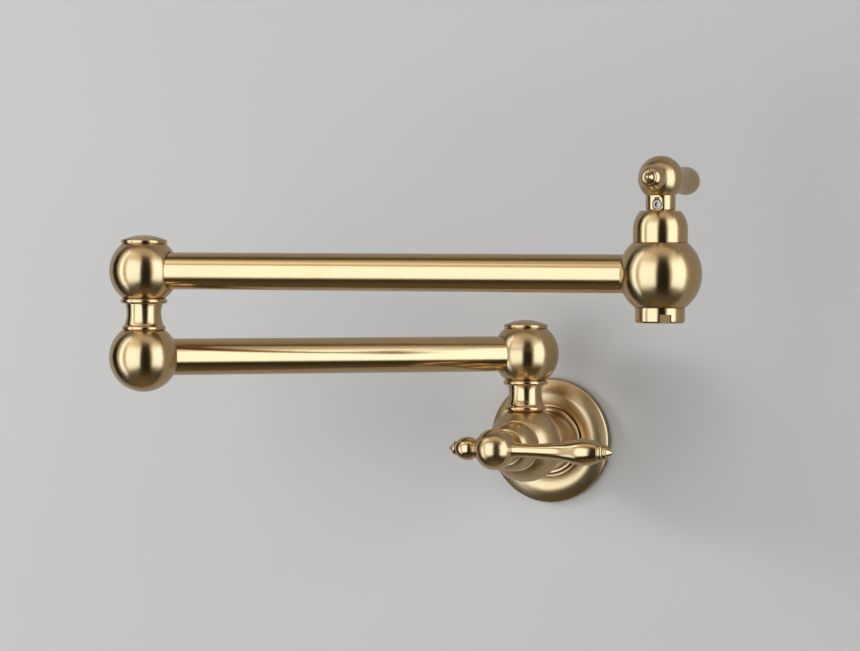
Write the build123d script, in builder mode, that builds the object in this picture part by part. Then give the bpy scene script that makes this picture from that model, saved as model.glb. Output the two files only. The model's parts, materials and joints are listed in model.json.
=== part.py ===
from build123d import *
from math import cos, radians, sin, sqrt
import os

# A wall mounted pot filler: a valve on the wall, two swinging arms and a valve at the spout.
# Millimetres. The origin is on the wall, at the middle of the inlet. The wall is the plane
# Y = 0, the part stands out of it along -Y, and +Z is up. The arms are drawn half opened.

# ---- driving dimensions ----
post_out = 50.0  # from the wall to the axis of the first swivel
arm_1_length = 251.0  # between the two swivel axes
arm_2_length = 318.0  # from the second swivel to the axis of the spout
arm_1_angle = 224.5  # seen from above, counted from +X towards the wall
arm_2_angle = 3.3
tube_radius = 11.0
tube_wall = 1.5
elbow_radius = 20.8  # the three small balls
valve_ball_radius = 23.7  # the wall valve and the spout ball

# ---- clearances ----
turning_gap = 0.05  # a shaft in its bore
thread_gap = 0.05  # screwed pieces, drawn without their threads
solder_gap = 0.02  # a tube in its socket
sliding_gap = 0.1  # one flat face that turns over another

# ---- elbow balls and posts, heights from a ball's centre ----
ball_foot = -16.6  # where a swivelling ball stands on its post
ball_crown = 16.0  # where its cap sits
fixed_crown = 15.9  # where the upper post stands on the outer ball
post_height = 19.3
lower_bead = (13.15, 3.2)  # radius and thickness
upper_bead = (14.0, 3.1)
waist_low = 11.9
waist_thin = 10.35
waist_high = 11.3
spigot_radius = 8.5
spigot_length = 8.4
spigot_hole = 8.5  # its depth
water_bore = 5.0
spindle_radius = 9.0
chamber_radius = 11.5
chamber_half = 6.0
shoulder = 10.5  # the step in the ball that the upper thrust washer lies on
clamp = 11.55  # where the clamping plate lies on the post, over that washer
washer_room = (11.8, -15.3)  # radius and top of the recess for the lower thrust washer
cap_bore = 11.2
port_radius = 6.5
socket_start = 13.0  # from an elbow ball's centre to the end of its tube

# ---- valves, heights along the valve axis from the ball's centre ----
body_top = 21.4  # flat on the wall valve that the first post stands on
bonnet_foot = 17.7
bonnet_radius = 15.5
bonnet_top = 35.7
bonnet_top_radius = 11.3
seat = -9.0
seat_bore = 4.8
cavity_radius = 11.0
cavity_top = 8.0
cartridge_thread = 12.0
hub_height = 54.0
hub_radius = 12.8
neck_radius = 8.4
neck_foot = 35.95
stem_radius = 4.0
stem_top = 48.0
screw_height = 39.1  # of the set screw in the hub's neck
flat_depth = 3.5  # from the valve axis to the flat that it presses on
spout_socket = 16.0  # from the spout ball's centre to the end of its tube

# ---- wall end, distances out from the wall ----
tail_radius = 18.9
inlet_radius = 9.3  # inside the thread of a half inch pipe
inlet_depth = 12.0
inlet_washer_radius = 8.8
inlet_washer_thickness = 2.0
flange_radius = 40.0
flange_hole = 23.4
flange_crest = (31.4, 11.7)  # radius and height of the top of the dome
flange_lip = 8.9  # height of the dome's inner edge, round the hole
gasket_thickness = 0.8
collar_radius = 22.0
collar_height = 5.6


def on_axis(origin, upwards, sideways):
    """A frame for a turned piece: Z along its axis, X to the side that matters."""
    return Plane(origin=origin, x_dir=sideways, z_dir=upwards)


def heading(angle):
    """The level direction at an angle seen from above."""
    return Vector(cos(radians(angle)), sin(radians(angle)), 0)


def side(at):
    """The plane through the axis of a frame: radius along X and height along Y."""
    return Plane(origin=at.origin, x_dir=at.x_dir, z_dir=-at.y_dir)


def axis(at):
    return Axis(at.origin, at.z_dir)


def turn(at, outline, mode=Mode.ADD):
    """Turn a closed outline of (radius, height) points, in the piece that is being made."""
    with BuildSketch(side(at)) as section:
        with BuildLine():
            Polyline(*outline, close=True)
        make_face()
    revolve(section.sketch, axis=axis(at), mode=mode)


def bore(at, radius, low, high):
    """Cut a round hole along the axis of a frame."""
    turn(at, [(0, low), (radius, low), (radius, high), (0, high)], Mode.SUBTRACT)


def save(piece, name):
    piece.part.label = name
    export_step(piece.part, f"parts/{name}.step")


def make_ring(name, at, inner, outer, *spans):
    """One flat ring for each (low, high) span."""
    with BuildPart() as rings:
        for low, high in spans:
            turn(at, [(inner, low), (outer, low), (outer, high), (inner, high)])
    save(rings, name)


def make_o_rings(name, at, inner, outer, *heights):
    with BuildPart() as rings:
        for height in heights:
            with BuildSketch(side(at)):
                with Locations(((inner + outer) / 2, height)):
                    Circle((outer - inner) / 2)
            revolve(axis=axis(at))
    save(rings, name)


def add_ball(at, radius, low=None, high=None):
    """A ball, cut flat across its axis at one or two heights."""
    with Locations(at):
        Sphere(radius)
    if low is not None:
        split(bisect_by=at.offset(low), keep=Keep.TOP)
    if high is not None:
        split(bisect_by=at.offset(high), keep=Keep.BOTTOM)


# ---- frames of the assembly, in the pose of the photograph ----
ball_1_height = body_top + post_height - ball_foot
ball_2_to_3 = fixed_crown + post_height - ball_foot

valve_centre = Vector(0, -post_out, 0)
ball_1_centre = valve_centre + Vector(0, 0, ball_1_height)
ball_2_centre = ball_1_centre + heading(arm_1_angle) * arm_1_length
ball_3_centre = ball_2_centre + Vector(0, 0, ball_2_to_3)
spout_centre = ball_3_centre + heading(arm_2_angle) * arm_2_length

up = Vector(0, 0, 1)
out = Vector(0, -1, 0)
wall_side_of_arm_2 = heading(arm_2_angle + 90)

ball_1 = on_axis(ball_1_centre, up, heading(arm_1_angle))
ball_2 = on_axis(ball_2_centre, up, -heading(arm_1_angle))
ball_3 = on_axis(ball_3_centre, up, heading(arm_2_angle))
wall_valve = on_axis(valve_centre, out, Vector(1, 0, 0))
spout_valve = on_axis(spout_centre, up, wall_side_of_arm_2)
wall = on_axis(Vector(0, 0, 0), out, Vector(1, 0, 0))


# ---- the wall end ----
def make_flange():
    """A solid domed ring: thin rim on the wall, a crest, and a ledge inside for the nut."""
    rim_top = gasket_thickness + 1.0
    ledge_top = 3.4
    ledge_foot = 1.9
    ledge_radius = tail_radius + 0.3
    relief = 2.4  # the shallow hollow in the back, inside the gasket
    gasket_inner = 34.0
    crest_radius, crest = flange_crest
    dome_foot = flange_radius - 0.9
    with BuildPart() as flange:
        with BuildSketch(side(wall)):
            with BuildLine():
                Polyline((gasket_inner, gasket_thickness), (flange_radius, gasket_thickness),
                         (flange_radius, rim_top), (dome_foot, rim_top))
                Spline((dome_foot, rim_top), (crest_radius, crest), (flange_hole, flange_lip),
                       tangents=[(-0.15, 1), (-1, 0), (-0.8, -1)])
                Polyline((flange_hole, flange_lip), (flange_hole, ledge_top),
                         (ledge_radius, ledge_top), (ledge_radius, ledge_foot),
                         (gasket_inner, relief), (gasket_inner, gasket_thickness))
            make_face()
        revolve(axis=axis(wall))
    save(flange, "wall_flange")
    make_ring("flange_gasket", wall, gasket_inner, flange_radius - 0.2, (0, gasket_thickness))
    return ledge_top


def make_collar(foot):
    """The round nut on the tail of the body that holds the flange to the wall."""
    top = foot + collar_height
    inner = tail_radius + thread_gap
    with BuildPart() as collar:
        turn(wall, [(inner, foot), (collar_radius, foot), (collar_radius, top), (inner, top)])
        front_rims = collar.edges().filter_by(GeomType.CIRCLE).group_by(Axis.Y)[0]
        fillet(front_rims.sort_by(SortBy.RADIUS)[-1], 1.6)
    save(collar, "flange_collar")


def cut_valve_room(at, waterway):
    """The room for a cartridge, with its seat and the waterway below the seat."""
    turn(at, [(0, waterway), (seat_bore, waterway), (seat_bore, seat), (cavity_radius, seat),
              (cavity_radius, cavity_top), (cartridge_thread, cavity_top),
              (cartridge_thread, bonnet_foot + 1), (0, bonnet_foot + 1)], Mode.SUBTRACT)


def make_valve_body():
    """A ball with a round tail into the wall, a cartridge in front and a post on top."""
    tail_end = -post_out
    waterway_radius = 6.0
    washer_top = inlet_depth + inlet_washer_thickness
    seam = sqrt(valve_ball_radius**2 - tail_radius**2) - post_out
    with BuildPart() as body:
        add_ball(wall_valve, valve_ball_radius, high=bonnet_foot)
        turn(wall_valve, [(0, tail_end), (tail_radius, tail_end), (tail_radius, 0), (0, 0)])
        round_edges = body.edges().filter_by(GeomType.CIRCLE)
        fillet(round_edges.filter_by_position(Axis.Y, seam - 1, seam + 1), 3.0)
        split(bisect_by=Plane.XY.offset(body_top), keep=Keep.BOTTOM)
        cut_valve_room(wall_valve, tail_end)
        bore(wall_valve, inlet_radius, tail_end, tail_end + inlet_depth)
        bore(wall_valve, inlet_washer_radius + 0.1, tail_end, tail_end + washer_top)
        bore(wall_valve, waterway_radius, tail_end, seat - 3)
        post_hole = on_axis(valve_centre, up, Vector(1, 0, 0))
        bore(post_hole, spigot_radius, body_top - spigot_hole, body_top)
        bore(post_hole, water_bore, 0, body_top)
    save(body, "valve_body")
    make_ring("inlet_washer", wall, 5.6, inlet_washer_radius, (inlet_depth, washer_top))


# ---- posts and swivels ----
groove_depth = 1.8
groove_half = 1.1
lower_groove = -11.0
upper_groove = 8.2
pivot_screw_radius = 2.5
plate_thickness = 1.5


def make_post(name, at):
    """A waisted post between two beads, with a hollow spindle that stands up in its ball."""
    foot = ball_foot - post_height
    low_radius, low_bead = lower_bead
    high_radius, high_bead = upper_bead
    bead_root = 1.0  # how far a bead's corners lie inside its widest circle
    boss_radius = 7.2
    boss_foot = shoulder - 0.2
    groove_floor = spindle_radius - groove_depth
    past = spindle_radius + 1
    with BuildPart() as post:
        with BuildSketch(side(at)):
            with BuildLine():
                Polyline((0, foot - spigot_length), (spigot_radius - thread_gap, foot - spigot_length),
                         (spigot_radius - thread_gap, foot), (low_radius - bead_root, foot))
                ThreePointArc((low_radius - bead_root, foot), (low_radius, foot + low_bead / 2),
                              (low_radius - bead_root, foot + low_bead))
                Line((low_radius - bead_root, foot + low_bead), (waist_low, foot + low_bead))
                ThreePointArc((waist_low, foot + low_bead), (waist_thin, foot + post_height / 2),
                              (waist_high, ball_foot - high_bead))
                Line((waist_high, ball_foot - high_bead),
                     (high_radius - bead_root, ball_foot - high_bead))
                ThreePointArc((high_radius - bead_root, ball_foot - high_bead),
                              (high_radius, ball_foot - high_bead / 2),
                              (high_radius - bead_root, ball_foot))
                Polyline((high_radius - bead_root, ball_foot), (spindle_radius, ball_foot),
                         (spindle_radius, boss_foot), (boss_radius, boss_foot),
                         (boss_radius, clamp), (0, clamp), (0, foot - spigot_length))
            make_face()
        revolve(axis=axis(at))
        for height in (lower_groove, upper_groove):
            turn(at, [(groove_floor, height - groove_half), (past, height - groove_half),
                      (past, height + groove_half), (groove_floor, height + groove_half)],
                 Mode.SUBTRACT)
        bore(at, water_bore, foot - spigot_length, 4.0)
        bore(at, pivot_screw_radius + thread_gap, 6.0, clamp)
        for turned in (45, 135):
            with BuildSketch(Plane(at.origin, x_dir=up, z_dir=heading(turned))):
                Circle(3.0)
            extrude(amount=past, both=True, mode=Mode.SUBTRACT)
    save(post, name)


def make_swivel_parts(number, at):
    """What holds a ball down on its post and keeps the water in."""
    make_o_rings(f"post_{number}_o_rings", at, spindle_radius - groove_depth, spindle_radius,
                 lower_groove, upper_groove)
    plate_top = clamp + plate_thickness
    head_radius = 4.75
    head_top = plate_top + 2.7
    make_ring(f"pivot_{number}_plate", at, pivot_screw_radius + 0.1, 10.6, (clamp, plate_top))
    with BuildPart() as screw:
        turn(at, [(0, 6.1), (pivot_screw_radius, 6.1), (pivot_screw_radius, plate_top),
                  (head_radius, plate_top), (head_radius, plate_top + 1.6), (3.4, head_top),
                  (0, head_top)])
        with BuildSketch(at.offset(plate_top + 1.0)):
            RegularPolygon(1.5, 6, major_radius=False)
        extrude(amount=3, mode=Mode.SUBTRACT)
    save(screw, f"pivot_{number}_screw")


def make_thrust_washers(number, at):
    """The two slippery rings that a ball turns on, under its foot and under the plate."""
    room_radius, room_top = washer_room
    low_foot = ball_foot + sliding_gap / 2
    high_top = clamp - sliding_gap / 2
    with BuildPart() as washers:
        turn(at, [(9.6, low_foot), (room_radius - 0.1, low_foot), (room_radius - 0.1, room_top),
                  (9.6, room_top)])
        turn(at, [(7.6, shoulder), (cap_bore - 0.2, shoulder), (cap_bore - 0.2, high_top),
                  (7.6, high_top)])
    save(washers, f"thrust_washers_{number}")


def cut_tube_socket(at, start, inner):
    """The socket for a tube along the X of a frame, and the port that leads into it."""
    mouth = Plane(at.origin, x_dir=at.z_dir, z_dir=at.x_dir)
    bore(mouth, port_radius, inner, start + 1)
    bore(mouth, tube_radius + solder_gap, start, start + 20)


def make_swivel_ball(name, at):
    """A hollow ball that turns on a post's spindle and carries an arm tube."""
    running = spindle_radius + turning_gap
    foot = ball_foot + sliding_gap
    room_radius, room_top = washer_room
    with BuildPart() as ball:
        add_ball(at, elbow_radius, foot, ball_crown)
        turn(at, [(0, foot), (room_radius, foot), (room_radius, room_top), (running, room_top),
                  (running, -chamber_half), (chamber_radius, -chamber_half),
                  (chamber_radius, chamber_half), (running, chamber_half), (running, shoulder),
                  (cap_bore, shoulder), (cap_bore, ball_crown), (0, ball_crown)], Mode.SUBTRACT)
        cut_tube_socket(at, socket_start, chamber_radius - 1)
    save(ball, name)


def make_cap(name, at):
    """A low dome with a thick rim, screwed into the top of a swivelling ball."""
    rim_radius = 13.8
    rim_root = rim_radius - 0.5
    rim_thickness = 2.7
    rim_top = ball_crown + rim_thickness
    dome_radius = 12.4
    dome_top = ball_crown + 5.3
    ceiling = dome_top - 3.6
    skirt = cap_bore - thread_gap
    skirt_foot = ball_crown - 2.6
    with BuildPart() as cap:
        with BuildSketch(side(at)):
            with BuildLine():
                Polyline((0, ceiling), (skirt - 1.5, ceiling), (skirt - 1.5, skirt_foot),
                         (skirt, skirt_foot), (skirt, ball_crown), (rim_root, ball_crown))
                ThreePointArc((rim_root, ball_crown),
                              (rim_radius, ball_crown + rim_thickness / 2), (rim_root, rim_top))
                Line((rim_root, rim_top), (dome_radius, rim_top))
                TangentArc((0, dome_top), (dome_radius, rim_top), tangent=(1, 0))
                Line((0, dome_top), (0, ceiling))
            make_face()
        revolve(axis=axis(at))
    save(cap, name)


def make_fixed_ball(name, at):
    """The ball at the outer end of the lower arm, which the upper post is screwed into."""
    with BuildPart() as ball:
        add_ball(at, elbow_radius, high=fixed_crown)
        bore(at, spigot_radius, fixed_crown - spigot_hole, fixed_crown)
        bore(at, port_radius, -port_radius, fixed_crown)
        cut_tube_socket(at, socket_start, 0)
    save(ball, name)


def make_tube(name, start, finish, start_gap, finish_gap):
    """A straight tube between two balls, let into a socket in each."""
    run = finish - start
    with BuildPart() as tube:
        with BuildSketch(Plane(start, z_dir=run.normalized()).offset(start_gap)):
            Circle(tube_radius)
            Circle(tube_radius - tube_wall, mode=Mode.SUBTRACT)
        extrude(amount=run.length - start_gap - finish_gap)
    save(tube, name)


# ---- cartridge valves ----
shell_radius = 9.0
shell_foot = -8.6
shell_neck = 7.0
shell_top = 35.0
seal_top = -7.2
disc_joint = -4.7  # where the still disc and the turning one meet
driver_foot = -2.0
disc_room = 2.0  # the top of the room for the discs and the driver
stem_ring = 29.7  # the height of the O-ring on the stem


def make_cartridge(number, at):
    """The still half of a ceramic cartridge, which holds the bonnet too."""
    make_ring(f"seat_seal_{number}", at, 4.9, 7.7, (seat, seal_top))
    threaded = cartridge_thread - thread_gap
    disc_bore = 7.9
    with BuildPart() as shell:
        turn(at, [(0, shell_foot), (shell_radius, shell_foot), (shell_radius, cavity_top),
                  (threaded, cavity_top), (threaded, bonnet_foot), (shell_neck, bonnet_foot),
                  (shell_neck, shell_top), (0, shell_top)])
        with BuildSketch(at.offset(bonnet_foot)):
            RegularPolygon(11.5, 6, major_radius=False)
        extrude(amount=4.3)
        bore(at, disc_bore, shell_foot, disc_room)
        bore(at, stem_radius + turning_gap, disc_room, shell_top)
        windows = Plane(at.origin, x_dir=at.y_dir, z_dir=at.x_dir)
        with BuildSketch(windows):
            with Locations((0, -1.4)):
                Rectangle(7, 5.6)
        extrude(amount=cavity_radius, both=True, mode=Mode.SUBTRACT)
    save(shell, f"cartridge_{number}")
    make_disc(f"fixed_disc_{number}", at, disc_bore - turning_gap, seal_top, disc_joint)
    make_o_rings(f"cartridge_{number}_o_ring", at, shell_radius, cavity_radius, cavity_top - 1.1)


def make_disc(name, at, radius, low, high, slot=False):
    """A ceramic disc with two ports, and a slot across its top if it is the one that turns."""
    port_offset = 3.9
    with BuildPart() as disc:
        with BuildSketch(at.offset(low)):
            Circle(radius)
            with Locations((port_offset, 0), (-port_offset, 0)):
                Circle(2.2, mode=Mode.SUBTRACT)
        extrude(amount=high - low)
        if slot:
            with BuildSketch(at.offset(high - 1.2)):
                Rectangle(3, 4 * radius)
            extrude(amount=2, mode=Mode.SUBTRACT)
    save(disc, name)


def make_bonnet(number, at):
    """A bell over the top of the cartridge."""
    straight = 25.5
    room = 13.6
    neck = shell_neck + thread_gap
    with BuildPart() as bonnet:
        with BuildSketch(side(at)):
            with BuildLine():
                Polyline((room, bonnet_foot), (bonnet_radius, bonnet_foot), (bonnet_radius, straight))
                TangentArc((bonnet_radius, straight), (bonnet_top_radius, bonnet_top), tangent=(0, 1))
                Polyline((bonnet_top_radius, bonnet_top), (neck, bonnet_top), (neck, 31.5),
                         (room, 24), (room, bonnet_foot))
            make_face()
        revolve(axis=axis(at))
        fillet(bonnet.edges().filter_by(GeomType.CIRCLE).filter_by(
            lambda edge: abs(edge.radius - bonnet_top_radius) < 0.01), 0.5)
    save(bonnet, f"bonnet_{number}")


def make_spindle(number, at):
    """The turning half of the cartridge: spindle, its O-ring and clip, and the moving disc."""
    driver_top = disc_room - sliding_gap
    key_height = 1.15
    groove = 2.7
    clip_groove = 3.2
    clip_foot = shell_top + sliding_gap
    clip_height = 0.7
    clip_room = clip_foot + clip_height + 0.05
    with BuildPart() as spindle:
        turn(at, [(0, driver_top), (stem_radius, driver_top), (stem_radius, stem_ring - 0.8),
                  (groove, stem_ring - 0.8), (groove, stem_ring + 0.8),
                  (stem_radius, stem_ring + 0.8), (stem_radius, clip_foot),
                  (clip_groove, clip_foot), (clip_groove, clip_room), (stem_radius, clip_room),
                  (stem_radius, stem_top), (0, stem_top)])
        with BuildSketch(at.offset(driver_foot)):
            Rectangle(5, 14.6)
        extrude(amount=driver_top - driver_foot)
        with BuildSketch(at.offset(driver_foot - key_height)):
            Rectangle(2.9, 14.0)
        extrude(amount=key_height)
        with BuildSketch(at.offset(neck_foot)):
            with Locations((-flat_depth, 0)):
                Rectangle(4, 10, align=(Align.MAX, Align.CENTER))
        extrude(amount=7, mode=Mode.SUBTRACT)
    save(spindle, f"spindle_{number}")
    make_o_rings(f"spindle_{number}_o_ring", at, groove, stem_radius, stem_ring)
    make_disc(f"moving_disc_{number}", at, 7.6, disc_joint + 0.02, driver_foot, slot=True)
    with BuildPart() as clip:
        with BuildSketch(at.offset(clip_foot + 0.02)):
            Circle(5.4)
            Circle(clip_groove, mode=Mode.SUBTRACT)
            with Locations((6, 0)):
                Rectangle(8, 3.4, mode=Mode.SUBTRACT)
        extrude(amount=clip_height)
    save(clip, f"spindle_{number}_clip")


lever_seat = 12.0
finial_seat = -11.4
stud_radius = 2.5
stud_end = 6.0


def make_hub(number, at):
    """A ball on a short neck, clamped to the spindle by a set screw under the finial."""
    screw_radius = 2.7
    screw_end = 8.1
    with BuildPart() as hub:
        add_ball(at.offset(hub_height), hub_radius)
        turn(at, [(0, neck_foot), (neck_radius, neck_foot), (neck_radius, hub_height),
                  (0, hub_height)])
        across = Plane(at.offset(hub_height).origin, x_dir=at.z_dir, z_dir=at.x_dir)
        split(bisect_by=across.offset(lever_seat), keep=Keep.BOTTOM)
        split(bisect_by=across.offset(finial_seat), keep=Keep.TOP)
        bore(across, stud_radius, stud_end, lever_seat)
        bore(across, stud_radius, finial_seat, -stud_end)
        bore(at, stem_radius + solder_gap, neck_foot, stem_top + 0.2)
        screw_line = Plane(at.offset(screw_height).origin, x_dir=at.z_dir, z_dir=-at.x_dir)
        bore(screw_line, screw_radius + thread_gap, 0, neck_radius + 1)
    save(hub, f"hub_{number}")
    with BuildPart() as screw:
        turn(screw_line, [(0, flat_depth), (screw_radius - 0.7, flat_depth),
                          (screw_radius, flat_depth + 0.7), (screw_radius, screw_end),
                          (0, screw_end)])
        with BuildSketch(screw_line.offset(screw_end - 2.5)):
            RegularPolygon(1.5, 6, major_radius=False)
        extrude(amount=4, mode=Mode.SUBTRACT)
    save(screw, f"set_screw_{number}")


def make_lever(number, at):
    """A turned grip: slim at the hub, a long swelling, two beads and a pointed tip."""
    centre = at.offset(hub_height).origin
    along = Plane(centre, x_dir=at.z_dir, z_dir=at.x_dir)
    stud = stud_radius - thread_gap
    tip = 76.4
    with BuildPart() as lever:
        with BuildSketch(side(along)):
            with BuildLine():
                Polyline((0, stud_end), (stud, stud_end), (stud, lever_seat), (4.95, lever_seat))
                Spline((4.95, lever_seat), (4.15, 20.0), (5.9, 44.5), (8.3, 57.5), (6.1, 67.3),
                       tangents=[(-0.2, 1), (-0.45, 1)])
                Line((6.1, 67.3), (5.5, 67.7))
                ThreePointArc((5.5, 67.7), (5.9, 69.1), (5.1, 70.4))
                Line((5.1, 70.4), (4.4, 70.7))
                ThreePointArc((4.4, 70.7), (4.6, 71.7), (3.9, 72.8))
                Polyline((3.9, 72.8), (3.3, 73.0), (1.3, tip - 0.7))
                TangentArc((0, tip), (1.3, tip - 0.7), tangent=(1, 0))
                Line((0, tip), (0, stud_end))
            make_face()
        revolve(axis=axis(along))
    save(lever, f"lever_{number}")


def make_finial(number, at):
    """A small turned bulb between two beads, with a pointed tip."""
    centre = at.offset(hub_height).origin
    along = Plane(centre, x_dir=at.z_dir, z_dir=-at.x_dir)
    stud = stud_radius - thread_gap
    foot = -finial_seat
    tip = foot + 18.6
    with BuildPart() as finial:
        with BuildSketch(side(along)):
            with BuildLine():
                Polyline((0, stud_end), (stud, stud_end), (stud, foot), (5.5, foot))
                ThreePointArc((5.5, foot), (5.9, foot + 0.7), (5.5, foot + 1.4))
                Polyline((5.5, foot + 1.4), (5.2, foot + 1.6), (5.7, foot + 1.8))
                TangentArc((7.2, foot + 6.4), (5.7, foot + 1.8), tangent=(0, -1))
                TangentArc((7.2, foot + 6.4), (4.7, foot + 13.1), tangent=(0, 1))
                Line((4.7, foot + 13.1), (3.7, foot + 13.5))
                ThreePointArc((3.7, foot + 13.5), (4.2, foot + 14.7), (3.4, foot + 15.9))
                Polyline((3.4, foot + 15.9), (2.7, foot + 16.1), (1.2, tip - 0.6))
                TangentArc((0, tip), (1.2, tip - 0.6), tangent=(1, 0))
                Line((0, tip), (0, stud_end))
            make_face()
        revolve(axis=axis(along))
    save(finial, f"finial_{number}")


# ---- spout ----
spout_foot = -19.0
aerator_seat = -12.0
aerator_bottom = -27.6
aerator_radius = 14.1
aerator_thread = 12.0
aerator_room = 10.6


def make_spout_ball():
    with BuildPart() as ball:
        add_ball(spout_valve, valve_ball_radius, spout_foot, bonnet_foot)
        cut_valve_room(spout_valve, spout_foot)
        bore(spout_valve, aerator_thread, spout_foot, aerator_seat)
        tube_side = on_axis(spout_centre, up, -heading(arm_2_angle))
        cut_tube_socket(tube_side, spout_socket, cavity_radius - 1)
    save(ball, "spout_ball")


def make_aerator():
    """The screwed shell with two key notches, and what it holds."""
    notch_angle = -59.0
    notch_width = 6.6
    notch_height = 4.9
    mouth = 9.6
    ledge = aerator_bottom + 1.4
    threaded = aerator_thread - thread_gap
    thread_top = aerator_seat - 1.2
    screen_foot = thread_top - 0.6
    with BuildPart() as shell:
        turn(spout_valve, [(mouth, aerator_bottom), (aerator_radius - 0.9, aerator_bottom),
                           (aerator_radius, aerator_bottom + 1.0), (aerator_radius, spout_foot),
                           (threaded, spout_foot), (threaded, thread_top),
                           (aerator_room, thread_top), (aerator_room, ledge), (mouth, ledge)])
        for turned in (notch_angle, notch_angle + 180):
            facing = Plane(spout_centre, x_dir=heading(turned + 90), z_dir=heading(turned))
            with BuildSketch(facing.offset(aerator_radius - 1.7)):
                with Locations((0, aerator_bottom)):
                    Rectangle(notch_width, 2 * notch_height)
            extrude(amount=4, mode=Mode.SUBTRACT)
    save(shell, "aerator_shell")
    make_ring("aerator_washer", spout_valve, 8.2, 11.8, (thread_top, aerator_seat))
    make_sieve("aerator_screen", screen_foot, thread_top, 0.55, (3, 6, 9))
    make_sieve("aerator_insert", ledge, screen_foot, 0.95, (4, 7.6))


def make_sieve(name, low, high, hole, rows):
    """A round plate with rows of holes about its middle."""
    with BuildPart() as plate:
        with BuildSketch(spout_valve.offset(low)):
            Circle(aerator_room - 0.05)
            Circle(hole, mode=Mode.SUBTRACT)
            for row in rows:
                with PolarLocations(row, round(2 * row)):
                    Circle(hole, mode=Mode.SUBTRACT)
        extrude(amount=high - low)
    save(plate, name)


os.makedirs("parts", exist_ok=True)

make_collar(make_flange())
make_valve_body()

make_post("post_1", ball_1)
make_swivel_parts(1, ball_1)
make_swivel_ball("ball_1", ball_1)
make_thrust_washers(1, ball_1)
make_cap("cap_1", ball_1)
make_tube("arm_tube_1", ball_1_centre, ball_2_centre, socket_start, socket_start)
make_fixed_ball("ball_2", ball_2)

make_post("post_2", ball_3)
make_swivel_parts(2, ball_3)
make_swivel_ball("ball_3", ball_3)
make_thrust_washers(2, ball_3)
make_cap("cap_2", ball_3)
make_tube("arm_tube_2", ball_3_centre, spout_centre, socket_start, spout_socket)
make_spout_ball()
make_aerator()

for number, at in ((1, wall_valve), (2, spout_valve)):
    make_cartridge(number, at)
    make_bonnet(number, at)
    make_spindle(number, at)
    make_hub(number, at)
    make_lever(number, at)
    make_finial(number, at)

print("ball centres", ball_1_centre, ball_2_centre, ball_3_centre, spout_centre)
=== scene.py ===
# %% [markdown]
# # A wall mounted pot filler in antique gold
#
# The real tap is nearly all lathe work. Balls, posts, bells, tubes, the grips of the levers:
# each is a bar of brass turned about one axis, then brushed or polished and plated. So the main
# tool here is the same one: an outline is drawn as a chain of edges and spun about an axis.
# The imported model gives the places, and nothing in it is moved.

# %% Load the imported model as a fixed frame
import json
import math

import bpy
from mathutils import Matrix, Vector
from mathutils.geometry import interpolate_bezier

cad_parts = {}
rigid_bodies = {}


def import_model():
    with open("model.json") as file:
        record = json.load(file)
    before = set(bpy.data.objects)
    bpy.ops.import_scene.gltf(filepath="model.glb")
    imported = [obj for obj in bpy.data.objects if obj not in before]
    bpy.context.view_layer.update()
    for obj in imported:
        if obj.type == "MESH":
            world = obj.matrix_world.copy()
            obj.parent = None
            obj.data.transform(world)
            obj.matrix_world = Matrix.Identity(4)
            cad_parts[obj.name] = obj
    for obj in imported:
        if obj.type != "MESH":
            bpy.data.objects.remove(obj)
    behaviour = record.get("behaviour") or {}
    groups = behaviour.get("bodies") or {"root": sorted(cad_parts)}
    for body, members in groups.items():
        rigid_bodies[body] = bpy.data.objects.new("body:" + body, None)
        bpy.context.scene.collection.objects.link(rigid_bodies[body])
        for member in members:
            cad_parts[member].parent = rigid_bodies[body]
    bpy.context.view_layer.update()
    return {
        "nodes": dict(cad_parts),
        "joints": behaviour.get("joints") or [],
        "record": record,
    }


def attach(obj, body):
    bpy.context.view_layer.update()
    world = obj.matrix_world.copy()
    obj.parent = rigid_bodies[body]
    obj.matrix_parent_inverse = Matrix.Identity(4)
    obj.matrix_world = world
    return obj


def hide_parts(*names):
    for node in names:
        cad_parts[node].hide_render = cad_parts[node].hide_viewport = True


bpy.ops.object.select_all(action="SELECT")
bpy.ops.object.delete()
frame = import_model()

# %% [markdown]
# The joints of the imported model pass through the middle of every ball, so all the centres come
# from them. Z is up, the wall is the plane Y = 0 and the tap stands out of it towards -Y.

# %% Find the centres and the directions
pivots = {joint["name"]: Vector(joint["pos_m"]) for joint in frame["joints"]}
ball_1 = pivots["lower_arm_swing"]
ball_3 = pivots["upper_arm_swing"]
ball_2 = Vector((ball_3.x, ball_3.y, ball_1.z))
spout = Vector((pivots["spout_valve_turn"].x, pivots["spout_valve_turn"].y, ball_3.z))
wall_valve = Vector((0, ball_1.y, 0))
lower_run = (ball_2 - ball_1).normalized()
upper_run = (spout - ball_3).normalized()
up = Vector((0, 0, 1))
out = Vector((0, -1, 0))
print("ball centres", ball_1, ball_2, ball_3, spout)

# %% [markdown]
# ## The camera
#
# The photograph was taken from a little to the right, almost level with the arms, through a long
# lens. A long lens keeps the two arms nearly parallel. The camera comes first, because every
# piece is judged through it.

# %% Place the camera
MM = 0.001
camera_at = Vector((0.6529, -1.8276, 0.1197))
turned, tipped, leaning = math.radians(22.0), math.radians(-1.36), math.radians(0.27)
bpy.ops.object.select_all(action="DESELECT")
bpy.ops.object.camera_add()
camera = bpy.context.object
camera.matrix_world = (
    Matrix.Translation(camera_at)
    @ Matrix.Rotation(turned, 4, "Z")
    @ Matrix.Rotation(math.radians(90) + tipped, 4, "X")
    @ Matrix.Rotation(leaning, 4, "Z")
)
camera.data.sensor_width = 36
camera.data.lens = 125.6
bpy.context.scene.camera = camera

# %% [markdown]
# ## A lathe
#
# An outline is a list of points in millimetres: distance from the axis, then height along it.
# A third number rounds that corner by so many millimetres, as a turner breaks every edge. Round
# stretches are arcs. The outline is drawn by extruding one vertex from point to point, and then
# spun a full turn.


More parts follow.
